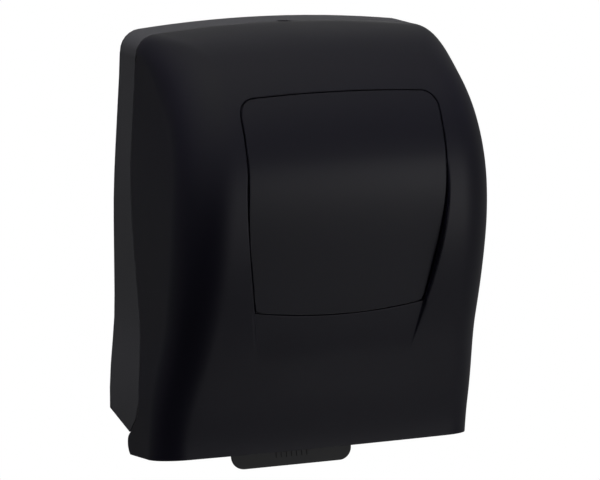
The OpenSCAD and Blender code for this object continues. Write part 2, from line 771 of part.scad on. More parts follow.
module cover_knuckle() {
    x0 = knuckle_x + knuckle_w + 0.8;
    x1 = half_width(0) - tilt - wall + 0.8;
    at(hinge_f, hinge_z) difference() {
        union() {
            rod(knuckle_r, x0, x1);
            turned(40) block([x1 - 5, x1], [0, 16], [-knuckle_r, knuckle_r]);
        }
        rod(hinge_pin_r + run_gap, x0 - 1, x1 - 2);
    }
}
module cover_knuckles() color(inner_grey) both_sides() cover_knuckle();

// Push lever and its gears

lever_wire_r = 0.8;
spring_r = lever_shaft_r + touch_gap + lever_wire_r;
spring_peg_z = -14;
spring_peg_r = 1.6;
tab_corner_points = 12;
module tab_outline() {
    r = tab_corner_r;
    arc = [
        for (k = [0 : tab_corner_points])
        let (t = 90 * k / tab_corner_points)
        [tab_w / 2 - r + r * cos(t), -tab_reach + r - r * sin(t)]
    ];
    polygon(concat(
        [[tab_w / 2, 0]], arc,
        [for (k = [tab_corner_points : -1 : 0]) [-arc[k][0], arc[k][1]]], [[-tab_w / 2, 0]]
    ));
}
module push_lever() {
    hub_r_lever = lever_shaft_r + 3;
    rib_x = tab_w / 2 - 12;
    rib_end = -tab_reach + 10;
    color(body_black) at(lever_f, lever_z) difference() {
        union() {
            rod(hub_r_lever, -tab_w / 2 - 0.6, tab_w / 2 + 0.6);
            turned(tab_lean) {
                front_plate(-tab_t / 2, tab_t / 2) tab_outline();
                for (sx = [-1, 0, 1]) translate([sx * rib_x, 0, 0]) side_plate(-1.25, 1.25)
                    outline([[0, -2], [-tab_t / 2 - 6, -4], [-tab_t / 2, rib_end], [0, rib_end]]);
                at(-lever_shaft_r + spring_peg_r, spring_peg_z)
                    rod(spring_peg_r, tab_w / 2 - 3, tab_w / 2 + 3);
            }
        }
        rod(lever_shaft_r, -tab_w, tab_w);
    }
}
module lever_shaft() {
    color(steel) at(lever_f, lever_z) rod(lever_shaft_r, -chassis_out - 4, gear_x + gear_w + 2);
}
sector_span = [-18, 36];
module sector_gear() {
    middle = mesh_angle - 180;
    step = 360 / sector_teeth;
    root = sector_r - dedendum + root_lap;
    color(pale_grey) at(lever_f, lever_z) difference() {
        side_plate(gear_x, gear_x + gear_w) {
            disc([0, 0], lever_shaft_r + 5);
            intersection() {
                disc([0, 0], root);
                sector_outline([0, 0], root * 1.3, middle + sector_span[0], middle + sector_span[1]);
            }
            for (k = [-2 : 3]) tooth(sector_teeth, sector_r, middle + step * (k + 0.5));
        }
        rod(lever_shaft_r, gear_x - 1, gear_x + gear_w + 1);
    }
}
clutch_r = shaft_r + 2.6;
module feed_pinion() {
    color(touch_green) at(drum_f, drum_z) difference() {
        side_plate(gear_x, gear_x + gear_w) {
            disc([0, 0], pinion_r - dedendum + root_lap);
            for (k = [0 : pinion_teeth - 1])
                tooth(pinion_teeth, pinion_r, mesh_angle + 360 * k / pinion_teeth);
        }
        rod(clutch_r, gear_x - 1, gear_x + gear_w + 1);
    }
}
module one_way_clutch() {
    color(steel) at(drum_f, drum_z) difference() {
        rod(clutch_r, gear_x, gear_x + gear_w);
        rod(shaft_r + run_gap, gear_x - 1, gear_x + gear_w + 1);
    }
}
lever_coil_pitch = 2.6;
lever_coil_turns = 7;
lever_leg = 18;
lever_coil = coil_path(spring_r, lever_coil_pitch, lever_coil_turns, lever_leg, 270 + tab_lean);
echo(lever_spring_gap = least_gap(lever_coil, lever_wire_r));
module lever_spring() {
    start = tab_w / 2 + 1.5 + lever_coil_pitch * (lever_coil_turns + 1 / coil_rings);
    color(steel) at(lever_f, lever_z)
        translate([start, 0, 0]) mirror([1, 0, 0]) wire(lever_coil, lever_wire_r);
}

// Feed drum and knife

module knife_slot() {
    half = knife_half_l + 0.25;
    turned(slot_angle) block([-half, half], [drum_r - 17, drum_r + 8], [-11, 9]);
}
module knife_frame() {
    at(drum_f, drum_z) turned(slot_angle) at(knife_u, knife_v) turned(knife_rest) children();
}
module feed_drum() {
    color(inner_grey) difference() {
        at(drum_f, drum_z) difference() {
            rod(drum_r, -drum_half_l, drum_half_l);
            difference() {
                rod(drum_r - drum_shell, -drum_half_l + drum_web, drum_half_l - drum_web);
                rod(shaft_r + 3, -drum_half_l, drum_half_l);
            }
            rod(shaft_r, -drum_half_l - 1, drum_half_l + 1);
            knife_slot();
        }
        knife_frame() rod(knife_pin_r + run_gap, -drum_half_l + 2, drum_half_l - 2);
    }
}
module drum_shaft() {
    color(steel) at(drum_f, drum_z) rod(shaft_r, -gear_x - gear_w - 12, gear_x + gear_w + 3);
}
band_w = 24;
band_step = drum_half_l - 34;
module drum_bands() {
    color(rubber) at(drum_f, drum_z) difference() {
        for (x = [-band_step, 0, band_step]) rod(drum_r + band_t, x - band_w / 2, x + band_w / 2);
        rod(drum_r, -drum_half_l, drum_half_l);
        knife_slot();
    }
}
module thumb_wheel() {
    x1 = -gear_x - gear_w - 2;
    color(touch_green) at(drum_f, drum_z) difference() {
        side_plate(x1 - 10, x1) difference() {
            disc([0, 0], thumb_r);
            for (k = [0 : 17]) disc(thumb_r * [cos(20 * k), sin(20 * k)], 2);
        }
        difference() {
            rod(thumb_r - 5, x1 - 11, x1 - 6);
            rod(shaft_r + 4, x1 - 12, x1);
        }
        rod(shaft_r, x1 - 11, x1 + 1);
    }
}
module shaft_clip() {
    x = gear_x + gear_w + touch_gap;
    color(steel) at(drum_f, drum_z) difference() {
        rod(shaft_r + 3, x, x + 1);
        rod(shaft_r, x - 1, x + 2);
        block([x - 1, x + 2], [0, 20], [-2.5, 2.5]);
    }
}
module knife_carrier() {
    color(pale_grey) knife_frame() {
        rod(knife_pin_r, -drum_half_l + 3, drum_half_l - 3);
        rod(knife_pin_r + 1.5, -knife_half_l, knife_half_l);
        block([-knife_half_l + 1, knife_half_l - 1], [0, knife_arm - 6], [-2.4, 0.4]);
    }
}
blade_pitch = 4;
module knife_blade() {
    half = floor((knife_half_l - 2) / blade_pitch) * blade_pitch;
    n = 2 * half / blade_pitch;
    root = knife_arm - 3;
    color(steel) knife_frame() translate([0, 0, 0.4]) linear_extrude(0.8) polygon(concat(
        [[half, -6], [-half, -6]],
        [for (k = [0 : 2 * n]) [-half + k * blade_pitch / 2, k % 2 == 0 ? -root : -knife_arm]]
    ));
}

// Pinch roller

module pinch_carrier() {
    pivot = [pinch_rod_f, pinch_rod_z];
    roller = [pinch_f, pinch_z];
    bar = [pinch_bar_f, pinch_bar_z];
    back = [cos(pinch_angle), sin(pinch_angle)];
    lift = [cos(pinch_angle - 90), sin(pinch_angle - 90)];
    color(inner_grey) difference() {
        union() {
            both_sides() side_plate(carrier_x, carrier_x + carrier_t) {
                link(pivot, roller, 6.5);
                link(roller, bar, 5);
            }
            side_plate(-carrier_x - carrier_t, carrier_x + carrier_t)
                outline([for (c = [[-2, -9], [2, -9], [2, 9], [-2, 9]]) bar + c[0] * back + c[1] * lift]);
        }
        at(pinch_rod_f, pinch_rod_z) rod(pinch_rod_r + run_gap, -chassis_x, chassis_x);
        at(pinch_f, pinch_z) rod(pinch_axle_r + run_gap, -chassis_x, chassis_x);
    }
}
pinch_wire_r = 0.7;
pinch_coil_pitch = 2.2;
pinch_coil_turns = 5;
pinch_leg = 22.4;
pinch_leg_angle = 222;
pinch_coil_r = pinch_rod_r + touch_gap + pinch_wire_r;
pinch_coil = coil_path(pinch_coil_r, pinch_coil_pitch, pinch_coil_turns, pinch_leg, pinch_leg_angle);
echo(pinch_spring_gap = least_gap(pinch_coil, pinch_wire_r));
module pinch_springs() {
    color(steel) at(pinch_rod_f, pinch_rod_z) both_sides()
        translate([carrier_x - 13, 0, 0]) wire(pinch_coil, pinch_wire_r);
}
groove_x = pinch_half_l - 49;
groove_w = 6;
module pinch_roller() {
    color(rubber) at(pinch_f, pinch_z) difference() {
        rod(pinch_r, -pinch_half_l, pinch_half_l);
        for (x = [-groove_x, groove_x]) difference() {
            rod(pinch_r + 1, x - groove_w / 2, x + groove_w / 2);
            rod(pinch_r - 2, x - groove_w, x + groove_w);
        }
        rod(pinch_axle_r, -pinch_half_l - 1, pinch_half_l + 1);
    }
}
module pinch_axle() {
    end = carrier_x + carrier_t + 1.5;
    color(steel) at(pinch_f, pinch_z) rod(pinch_axle_r, -end, end);
}

// Roll holder

module arm_post(r, half) translate([arm_pivot_x, -arm_pivot_f, 0]) post(r, roll_z - half, roll_z + half);
module roll_bracket() {
    inner = arm_half_h + touch_gap;
    color(inner_grey) difference() {
        union() {
            block([arm_pivot_x - 8, arm_pivot_x + 8], [back_t, back_t + bracket_t],
                [roll_z - bracket_half_h, roll_z + bracket_half_h]);
            for (z = [roll_z - inner - ear_t, roll_z + inner]) {
                block([arm_pivot_x - 7, arm_pivot_x + 7], [back_t, arm_pivot_f], [z, z + ear_t]);
                translate([arm_pivot_x, -arm_pivot_f, 0]) post(7, z, z + ear_t);
            }
        }
        arm_post(arm_pin_r, bracket_half_h);
        bracket_screw_places() peg(screw_r + 0.3, back_t - 1, back_t + bracket_t + 1);
    }
}
module roll_bracket_right() roll_bracket();
module roll_bracket_left() mirror([1, 0, 0]) roll_bracket();
module arm_pivot_pins() {
    half = arm_half_h + touch_gap + ear_t;
    color(steel) both_sides() arm_post(arm_pin_r, half);
}
module roll_arm() {
    end_r = 17;
    color(inner_grey) difference() {
        union() {
            arm_post(arm_hub_r, arm_half_h);
            side_plate(arm_x, arm_x + arm_t) {
                outline([[arm_pivot_f, roll_z - 13], [roll_f, roll_z - 15], [roll_f, roll_z + 15],
                    [arm_pivot_f, roll_z + 13]]);
                disc([roll_f, roll_z], end_r);
            }
            at(roll_f, roll_z) rod(stub_r, arm_x - 19, arm_x + 1);
            at(roll_f, roll_z) rod(stub_r + 3, arm_x - 0.3, arm_x);
        }
        arm_post(arm_pin_r + run_gap, bracket_half_h);
    }
}
module roll_arm_right() roll_arm();
module roll_arm_left() mirror([1, 0, 0]) roll_arm();
module roll_hub() {
    x0 = arm_x - 19;
    x1 = arm_x - 0.6;
    color(touch_green) at(roll_f, roll_z) difference() {
        union() {
            rod(hub_r + 7, x1 - 3, x1);
            rod(hub_r, x0 + 4, x1);
            rod(hub_r - 2, x0, x1);
        }
        difference() {
            rod(hub_r - 4, x0 - 1, x1 - 5);
            rod(stub_r + 3, x0 - 2, x1);
            for (a = [0, 60, 120]) turned(a) block([x0, x1], [-hub_r, hub_r], [-1, 1]);
        }
        rod(stub_r + run_gap, x0 - 1, x1 + 1);
    }
}
module roll_hub_right() roll_hub();
module roll_hub_left() mirror([1, 0, 0]) roll_hub();

framed() rear_housing();
framed() chassis_left();
framed() chassis_right();
framed() paper_chute();
framed() slot_front_lip();
framed() tie_bar();
framed() drum_bush_left();
framed() drum_bush_right();
framed() pinch_rod();
framed() cover_hinge_pins();
framed() lock_case();
framed() roll_bracket_left();
framed() roll_bracket_right();
framed() arm_pivot_pins();
framed() chassis_screws();
framed() bracket_screws();
framed() front_cover();
framed() front_panel();
framed() panel_clips();
framed() cover_knuckles();
framed() cover_catch();
framed() lock_bolt();
framed() push_lever();
framed() lever_shaft();
framed() sector_gear();
framed() lever_spring();
framed() feed_pinion();
framed() one_way_clutch();
framed() feed_drum();
framed() drum_shaft();
framed() drum_bands();
framed() thumb_wheel();
framed() shaft_clip();
framed() knife_carrier();
framed() knife_blade();
framed() pinch_carrier();
framed() pinch_springs();
framed() pinch_roller();
framed() pinch_axle();
framed() roll_arm_left();
framed() roll_arm_right();
framed() roll_hub_left();
framed() roll_hub_right();
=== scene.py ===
import json
import math

import bmesh
import bpy
from mathutils import Matrix, Vector


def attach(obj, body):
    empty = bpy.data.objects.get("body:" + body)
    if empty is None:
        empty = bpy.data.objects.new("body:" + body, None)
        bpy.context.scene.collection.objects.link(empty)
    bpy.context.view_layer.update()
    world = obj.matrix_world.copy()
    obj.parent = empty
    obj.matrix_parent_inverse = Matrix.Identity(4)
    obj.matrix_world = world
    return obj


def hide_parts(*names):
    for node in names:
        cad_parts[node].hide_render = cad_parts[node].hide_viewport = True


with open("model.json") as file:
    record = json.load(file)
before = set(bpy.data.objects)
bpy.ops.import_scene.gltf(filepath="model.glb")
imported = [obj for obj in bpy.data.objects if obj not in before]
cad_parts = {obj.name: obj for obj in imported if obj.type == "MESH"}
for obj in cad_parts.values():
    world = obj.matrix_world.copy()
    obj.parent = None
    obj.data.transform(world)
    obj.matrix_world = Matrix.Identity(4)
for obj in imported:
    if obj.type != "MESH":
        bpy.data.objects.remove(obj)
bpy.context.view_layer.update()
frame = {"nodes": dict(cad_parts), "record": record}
print("frame loaded,", len(frame["nodes"]), "nodes")

# Sizes are in millimetres: x from the middle, depth from the wall,
# height from a level that lies mountHeight below the frame's origin
perMetre = 1000
mountHeight = 205
weld = 0.002  # points closer than this are one


def spot(x, depth, height):
    return Vector((x, -depth, height - mountHeight)) / perMetre


def sizesOf(point):
    return point.x * perMetre, -point.y * perMetre, point.z * perMetre + mountHeight


def clamp01(t):
    return min(1.0, max(0.0, t))


def ease(a, b, t):
    t = clamp01((t - a) / (b - a))
    return t * t * (3 - 2 * t)


def mix(a, b, t):
    return a + (b - a) * t


# Even shares drawn together towards 1
def crowd(t, power):
    return 1 - (1 - t) ** power


# The place between two ends from which a test holds
halvings = 26


def turningPoint(low, high, holds):
    for _ in range(halvings):
        middle = (low + high) / 2
        if holds(middle):
            high = middle
        else:
            low = middle
    return middle


# Shader maths: a wrapped socket takes + - * and the nodes appear
class Wire:
    def __init__(self, tree, socket):
        self.tree = tree
        self.socket = socket

    def maths(self, operation, left, right):
        node = self.tree.nodes.new("ShaderNodeMath")
        node.operation = operation
        for inlet, value in zip(node.inputs, (left, right)):
            plug(self.tree, inlet, value)
        return Wire(self.tree, node.outputs[0])

    def __add__(self, other):
        return self.maths("ADD", self, other)

    def __sub__(self, other):
        return self.maths("SUBTRACT", self, other)

    def __mul__(self, other):
        return self.maths("MULTIPLY", self, other)

    def __rsub__(self, other):
        return self.maths("SUBTRACT", other, self)

    def most(self, other):
        return self.maths("MAXIMUM", self, other)

    __radd__ = __add__
    __rmul__ = __mul__


def plug(tree, inlet, value):
    if isinstance(value, Wire):
        tree.links.new(value.socket, inlet)
    else:
        inlet.default_value = value


class Shades:
    def __init__(self, tree):
        self.tree = tree

    def add(self, kind, settings=None, sockets=None, output=0):
        node = self.tree.nodes.new(kind)
        for key, value in (settings or {}).items():
            setattr(node, key, value)
        for key, value in (sockets or {}).items():
            plug(self.tree, node.inputs[key], value)
        return Wire(self.tree, node.outputs[output]) if node.outputs else node


colourMix = {"dark": 6, "light": 7, "result": 2}  # the Mix node's colour sockets, by number


class Finish(Shades):
    def __init__(self, name, **sockets):
        self.material = bpy.data.materials.new(name)
        self.material.use_nodes = True
        super().__init__(self.material.node_tree)
        self.shader = self.tree.nodes["Principled BSDF"]
        self.here = self.add("ShaderNodeTexCoord", output="Object")
        self.set(**sockets)

    def set(self, **sockets):
        for key, value in sockets.items():
            plug(self.tree, self.shader.inputs[key.replace("_", " ")], value)

    def noise(self, size, detail, stretch=(1, 1, 1)):
        place = self.add("ShaderNodeMapping", None, {"Vector": self.here, "Scale": stretch})
        sockets = {"Vector": place, "Scale": perMetre / size, "Detail": detail}
        return self.add("ShaderNodeTexNoise", None, sockets, "Fac")

    def blend(self, share, dark, light):
        sockets = {"Factor": share, colourMix["dark"]: (*dark, 1), colourMix["light"]: (*light, 1)}
        return self.add("ShaderNodeMix", {"data_type": "RGBA"}, sockets, colourMix["result"])

    def bump(self, height, depth):
        sockets = {"Height": height, "Distance": depth / perMetre, "Strength": 1}
        self.set(Normal=self.add("ShaderNodeBump", None, sockets, "Normal"))


def shades(colour, spread):
    return [c * (1 - spread) for c in colour], [c * (1 + spread) for c in colour]


# Moulded plastic: fine spark-eroded grain, faint flow marks in colour and gloss
moulding = {
    "flowSize": 90, "flowDetail": 3, "flowGloss": 0.07,
    "touchSize": 26, "touchDetail": 4, "touchGloss": 0.03,
    "grainDetail": 2, "polish": 0.05,
}
plastics = {
    "cover_plastic": {
        "name": "cover black", "colour": (0.0055, 0.0049, 0.0112), "roughness": 0.40,
        "grain": 0.55, "grainDepth": 0.004, "specular": 0.30, "spread": 0.12,
    },
    "panel_plastic": {
        "name": "panel black", "colour": (0.0055, 0.0050, 0.0108), "roughness": 0.38,
        "grain": 0.55, "grainDepth": 0.004, "specular": 0.30, "spread": 0.12,
    },
    "housing_plastic": {
        "name": "housing charcoal", "colour": (0.0390, 0.0385, 0.0450), "roughness": 0.62,
        "grain": 0.7, "grainDepth": 0.02, "specular": 0.40, "spread": 0.12,
    },
    "tab_plastic": {
        "name": "tab black", "colour": (0.0160, 0.0158, 0.0185), "roughness": 0.50,
        "grain": 0.6, "grainDepth": 0.008, "specular": 0.40, "spread": 0.12,
    },
    "inner_plastic": {
        "name": "inner grey", "colour": (0.075, 0.078, 0.083), "roughness": 0.55,
        "grain": 0.7, "grainDepth": 0.012, "specular": 0.5, "spread": 0.12,
    },
    "pale_plastic": {
        "name": "pale acetal", "colour": (0.50, 0.51, 0.52), "roughness": 0.36,
        "grain": 1.2, "grainDepth": 0.004, "specular": 0.5, "spread": 0.05,
    },
    "touch_plastic": {
        "name": "touch green", "colour": (0.035, 0.17, 0.09), "roughness": 0.42,
        "grain": 0.8, "grainDepth": 0.006, "specular": 0.5, "spread": 0.08,
    },
}


def mouldedPlastic(name, colour, roughness, grain, grainDepth, specular, spread):
    finish = Finish(name, Specular_IOR_Level=specular)
    flow = finish.noise(moulding["flowSize"], moulding["flowDetail"])
    handled = finish.noise(moulding["touchSize"], moulding["touchDetail"])
    finish.set(Base_Color=finish.blend(flow, *shades(colour, spread)))
    flowing = roughness - moulding["polish"] + moulding["flowGloss"] * flow
    finish.set(Roughness=flowing + moulding["touchGloss"] * handled)
    finish.bump(finish.noise(grain, moulding["grainDetail"]), grainDepth)
    return finish.material


# Drawn or ground steel: streaks along one direction, a cloudy shine
drawing = {
    "lineSize": 0.6, "cloudSize": 14, "detail": 3, "spread": 0.08, "lineGloss": 0.12, "cloudGloss": 0.04,
}
steels = {
    "steel": {
        "name": "zinc plated steel", "colour": (0.60, 0.61, 0.62), "roughness": 0.26,
        "streak": (0.06, 1, 1), "depth": 0.004,
    },
    "spring_steel": {
        "name": "spring wire", "colour": (0.42, 0.43, 0.45), "roughness": 0.30,
        "streak": (1, 1, 1), "depth": 0.002,
    },
    "blade_steel": {
        "name": "ground blade", "colour": (0.66, 0.67, 0.69), "roughness": 0.22,
        "streak": (1, 0.05, 0.05), "depth": 0.003,
    },
}


def streakedSteel(name, colour, roughness, streak, depth):
    finish = Finish(name, Metallic=1.0)
    lines = finish.noise(drawing["lineSize"], drawing["detail"], streak)
    cloud = finish.noise(drawing["cloudSize"], drawing["detail"])
    finish.set(Base_Color=finish.blend(cloud, *shades(colour, drawing["spread"])))
    finish.set(Roughness=roughness + drawing["lineGloss"] * lines - drawing["cloudGloss"] * cloud)
    finish.bump(lines, depth)
    return finish.material


# Rubber of the drum's bands and the pinch roller: a dull bloom and a fine grain
rubber = {
    "colour": (0.018, 0.018, 0.019), "spread": 0.25, "roughness": 0.72, "specular": 0.35,
    "bloomSize": 18, "bloomDetail": 4, "bloomGloss": 0.14, "grain": 0.5, "grainDetail": 3, "grainDepth": 0.02,
}


def mouldedRubber():
    finish = Finish("black rubber", Specular_IOR_Level=rubber["specular"])
    bloom = finish.noise(rubber["bloomSize"], rubber["bloomDetail"])
    finish.set(Base_Color=finish.blend(bloom, *shades(rubber["colour"], rubber["spread"])))
    finish.set(Roughness=rubber["roughness"] + rubber["bloomGloss"] * bloom)
    finish.bump(finish.noise(rubber["grain"], rubber["grainDetail"]), rubber["grainDepth"])
    return finish.material


finishes = {slot: mouldedPlastic(**look) for slot, look in plastics.items()}
finishes.update({slot: streakedSteel(**look) for slot, look in steels.items()})
finishes["rubber"] = mouldedRubber()
print("finishes made,", len(finishes))

behaviour = frame["record"]["behaviour"]
slotOf = {part["node"]: part["material_slot"] for part in frame["record"]["subparts"]}
bodyOf = {node: body for body, nodes in behaviour["bodies"].items() for node in nodes}


# A piece from a bmesh, with its finish, riding on the body of the nodes that it stands for
def makePiece(name, bm, slot, body, *nodes):
    mesh = bpy.data.meshes.new(name)
    bm.to_mesh(mesh)
    bm.free()
    mesh.shade_smooth()
    piece = bpy.data.objects.new(name, mesh)
    bpy.context.scene.collection.objects.link(piece)
    mesh.materials.append(finishes[slot])
    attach(piece, body)
    if nodes:
        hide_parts(*nodes)
    return piece


# Walls and rounded rims of the sheets
rounding = {"segments": 3, "angle": 50}


def addThickness(piece, wall):
    shell = piece.modifiers.new("wall", "SOLIDIFY")
    shell.thickness = wall / perMetre
    shell.offset = -1  # inwards
    shell.use_rim = True


def roundEdges(piece, width):
    edge = piece.modifiers.new("edges", "BEVEL")
    edge.width = width / perMetre
    edge.segments = rounding["segments"]
    edge.limit_method = "ANGLE"
    edge.angle_limit = math.radians(rounding["angle"])
    edge.use_clamp_overlap = False
    edge.loop_slide = False
    edge.harden_normals = True


# A bent sheet: a flat grid, each point of it put in its place
def gridOf(bm, columns, rows, placeOf):
    bmesh.ops.create_grid(bm, x_segments=columns, y_segments=rows, size=1)
    for vert in bm.verts:
        i = round((vert.co.x + 1) / 2 * columns)
        j = round((vert.co.y + 1) / 2 * rows)
        vert.co = placeOf(i, j)
    bm.normal_update()


def faceForward(bm):
    bmesh.ops.recalc_face_normals(bm, faces=bm.faces)
    frontmost = min(bm.faces, key=lambda face: face.calc_center_median().y)
    if frontmost.normal.y > 0:
        bmesh.ops.reverse_faces(bm, faces=bm.faces)


# The cover's outside, by the rule that also shapes its solid
cover = {
    "height": 377, "depth": 205, "bulgeHeight": 240, "wall": 2.6, "keyHole": 7, "rimRound": 0.9,
    "rimDepth": 138, "rimHeight": 5.2, "rimTilt": 0.16, "rimBlend": 60, "tailDrop": 5.9,
    "halfWidth": 148, "footFlare": 5.5, "flareFull": 40, "flareEnd": 125, "topTaper": 8, "taperFrom": 200,
    "footRadius": 28, "bulgeRadius": 42, "topRadius": 17, "topRadiusFrom": 150,
    "crown": 7, "arch": 1.5, "archSpan": 120, "tilt": 1.5, "tiltFadeFrom": 1.5,
    "footOut": 0.1, "footUp": 0.25, "bellyRise": 0.62, "browRise": 0.52, "browReach": 0.76, "browLift": 5,
}
seam = {
    "depth": 45, "gain": 38, "low": 40, "high": 280, "hingeDepth": 62, "hingeHeight": 4.5, "tailRadius": 10.8,
    "wedgeLow": 14.5, "wedgeHigh": 37.5, "wedgeDepth": 58,
}
panel = {
    "low": 135, "lowRise": 6.5, "lowSpan": 80, "lowMeet": 75, "high": 330, "highDrop": 3, "highSpan": 84,
    "halfWidth": 92, "creaseLow": 67, "creaseFrom": 40, "creaseTo": 250,
    "recess": 7, "recessHeight": 185, "recessReach": 92, "step": 2.0,
    "corner": 14, "coverFade": 12, "lowCorner": 3, "panelFade": 1,
    "gap": 0.8, "thick": 3.2, "edgeRound": 0.7, "flangeLap": 5, "flangeDepth": 2.9, "flangeThick": 1.8,
    "halfColumns": 30, "rows": 60, "crowding": 1.6,
}
lowCurve = [
    Vector((cover["rimDepth"], cover["rimHeight"])),
    Vector((
        mix(cover["rimDepth"], cover["depth"], cover["footOut"]),
        mix(cover["rimHeight"], cover["bulgeHeight"], cover["footUp"]))),
    Vector((cover["depth"], cover["bellyRise"] * cover["bulgeHeight"])),
    Vector((cover["depth"], cover["bulgeHeight"])),
]
highCurve = [
    Vector((cover["depth"], cover["bulgeHeight"])),
    Vector((cover["depth"], mix(cover["bulgeHeight"], cover["height"], cover["browRise"]))),
    Vector((cover["browReach"] * cover["depth"], cover["height"] + cover["browLift"])),
    Vector((seam["depth"], cover["height"])),
]
rimSlope = cover["rimTilt"] + (lowCurve[1].x - lowCurve[0].x) / (lowCurve[1].y - lowCurve[0].y)

# Steps up the profile run from 0 at the front rim over the bulge to the seam on top
bulgeStep = 1
topStep = 2
settleRounds = 3  # for places that hang on each other


# A place of the middle profile, as depth and height, and its inward direction
def curveAt(s):
    p, t = (lowCurve, s) if s <= bulgeStep else (highCurve, s - bulgeStep)
    u = 1 - t
    place = p[0] * u ** 3 + 3 * p[1] * t * u * u + 3 * p[2] * t * t * u + p[3] * t ** 3
    way = (p[1] - p[0]) * u * u + 2 * (p[2] - p[1]) * t * u + (p[3] - p[2]) * t * t
    way.normalize()
    return place, Vector((-way.y, way.x))


def halfWidthAt(z):
    flare = cover["footFlare"] * (1 - ease(cover["flareFull"], cover["flareEnd"], z))
    return cover["halfWidth"] + flare - cover["topTaper"] * ease(cover["taperFrom"], cover["height"], z)


def creaseAt(z):
    return mix(panel["creaseLow"], panel["halfWidth"], ease(panel["creaseFrom"], panel["creaseTo"], z))


def recessAt(z):
    t = clamp01(abs(z - panel["recessHeight"]) / panel["recessReach"])
    return panel["recess"] * (1 - t * t) ** 2


def edgeRadiusAt(place):
    r = mix(cover["footRadius"], cover["bulgeRadius"], ease(0, cover["bulgeHeight"], place.y))
    if place.y > cover["bulgeHeight"]:
        r = mix(r, cover["topRadius"], ease(cover["topRadiusFrom"], seam["depth"], place.x))
    return r


def seamDepthAt(z):
    if z > seam["wedgeHigh"]:
        return seam["depth"] + seam["gain"] * (1 - ease(seam["low"], seam["high"], z))
    if z > seam["wedgeLow"]:
        share = (z - seam["wedgeLow"]) / (seam["wedgeHigh"] - seam["wedgeLow"])
        return mix(seam["wedgeDepth"], seam["depth"] + seam["gain"], share)
    return seam["hingeDepth"] - math.sqrt(max(0, seam["tailRadius"] ** 2 - (z - seam["hingeHeight"]) ** 2))


# The profile's place at a step, with the half width and the edge radius there
def rowAt(s):
    place, inward = curveAt(s)
    r = edgeRadiusAt(place)
    tilt = cover["tilt"] * (1 - ease(cover["tiltFadeFrom"], topStep, s))
    return place, inward, halfWidthAt(place.y + r * inward.y) - tilt, r


# A point of the front at a step up the profile and x across, set back in depth or laid below the skin
def frontPoint(s, x, setBack=0.0, below=0.0):
    place, inward, w, r = rowAt(s)
    far = abs(x)
    drop = cover["crown"] * (far / w) ** 2 + below
    if far > w - r:
        drop += r - math.sqrt(max(0, r * r - (far - w + r) ** 2))
    depth = place.x + inward.x * drop - setBack
    height = place.y + inward.y * drop
    height -= cover["arch"] * (x / cover["archSpan"]) ** 2 * (max(0, height) / cover["height"]) ** 2
    height -= rimSlope * max(0, cover["rimDepth"] - depth) * (1 - ease(0, cover["rimBlend"], height))
    return x, depth, height


def stepAtHeight(x, height):
    return turningPoint(0, topStep, lambda s: frontPoint(s, x)[2] > height)


def panelLowAt(x):
    return panel["low"] + panel["lowRise"] * (x / panel["lowSpan"]) ** 2


def panelHighAt(x):
    return panel["high"] - panel["highDrop"] * (x / panel["highSpan"]) ** 2


# Steps of the panel's lower and upper edges across x, held beyond the creases
edgeTable = {"spacing": 2.0, "count": 52}


def edgeSteps(heightAt):
    across = [k * edgeTable["spacing"] for k in range(edgeTable["count"])]
    return [stepAtHeight(x, heightAt(x)) for x in across]


def fromTable(table, x, end):
    k = min(abs(x), end) / edgeTable["spacing"]
    i = int(k)
    return mix(table[i], table[i + 1], k - i)


lowTable = edgeSteps(panelLowAt)
highTable = edgeSteps(panelHighAt)
lowEnd = creaseAt(panelLowAt(panel["lowMeet"]))
highEnd = panel["halfWidth"]


# The panel's upper corner: a place counted from the middle of its arc, and back
def toCorner(x, height):
    return x - panel["halfWidth"] + panel["corner"], height - panelHighAt(x) + panel["corner"]


def fromCorner(u, v):
    x = u + panel["halfWidth"] - panel["corner"]
    return x, v + panelHighAt(x) - panel["corner"]


# Nested squares at a corner become nested arcs, and the pull fades out beyond the edge
def roundCorner(u, v, radius, fade):
    m = max(u, v)
    if min(u, v) <= 0 or m >= radius + fade:
        return u, v
    share = 1 if m <= radius else 1 - ease(0, 1, (m - radius) / fade)
    k = mix(1, m / math.hypot(u, v), share)
    return u * k, v * k


# Columns of one half of the cover, outwards: the key hole, the panel, its step, the cheek,
# the rounded edge and the side. Rows upwards: the skirt, the panel and the brow
keyColumns = [0, 1.5, 3, 4.3, 5.4, 6.2, 6.7, 6.93, 7.0, 8.2, 10, 12.5]
coverGrid = {
    "panelColumns": 22, "stepColumns": 5, "cheekColumns": 12, "edgeColumns": 18, "sideColumns": 14,
    "skirtRows": 64, "panelRows": 64, "browRows": 60, "skirtCrowding": 1.5, "creaseMargin": 0.05,
}
creaseColumn = len(keyColumns) - 1 + coverGrid["panelColumns"]
stepColumn = creaseColumn + coverGrid["stepColumns"]
cheekColumn = stepColumn + coverGrid["cheekColumns"]
edgeColumn = cheekColumn + coverGrid["edgeColumns"]
halfColumns = edgeColumn + coverGrid["sideColumns"]
lowRow = coverGrid["skirtRows"]
highRow = lowRow + coverGrid["panelRows"]
topRow = highRow + coverGrid["browRows"]


# Where a column lies across at a step, and its share of the hollow's depth
def columnAt(k, s):
    place, _, w, r = rowAt(s)
    c = creaseAt(place.y)
    if k < len(keyColumns):
        return keyColumns[k], 1
    if k <= creaseColumn:
        share = (k - len(keyColumns) + 1) / coverGrid["panelColumns"]
        return mix(keyColumns[-1], c, crowd(share, panel["crowding"])), 1
    if k <= stepColumn:
        share = (k - creaseColumn) / coverGrid["stepColumns"]
        return c + panel["step"] * share, 1 - ease(0, 1, share)
    if k <= cheekColumn:
        return mix(c + panel["step"], w - r, (k - stepColumn) / coverGrid["cheekColumns"]), 0
    turn = min(1, (k - cheekColumn) / coverGrid["edgeColumns"]) * math.pi / 2
    return w - r + r * math.sin(turn), 0


